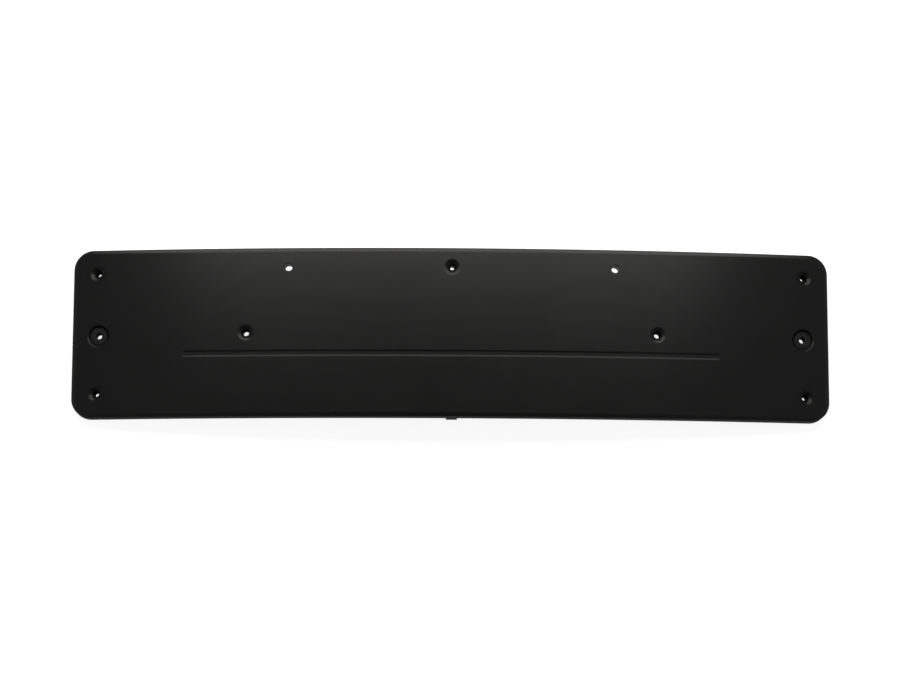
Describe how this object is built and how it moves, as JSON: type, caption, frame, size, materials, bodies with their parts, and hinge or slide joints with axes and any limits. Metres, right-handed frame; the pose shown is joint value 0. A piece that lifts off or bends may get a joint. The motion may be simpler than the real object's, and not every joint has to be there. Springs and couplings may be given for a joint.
{
  "type": "number plate holder",
  "caption": "Bowed rectangular number plate holder in black moulded plastic, with a rim, a long front groove, dished screw holes and round recesses at the ends.",
  "frame": {"origin": "on the surface that the holder lies on, under the middle of its outline", "axes": "+X along the plate to the viewer's right, +Y to its upper edge, +Z out of its front face; it lies on its back, arched up in the middle"},
  "size_m": [0.525, 0.117, 0.0338],
  "materials": {
    "grained_plastic": "black, satin, with a fine moulded grain"
  },
  "bodies": {
    "root": {"plate_holder": "grained_plastic"}
  },
  "joints": []
}
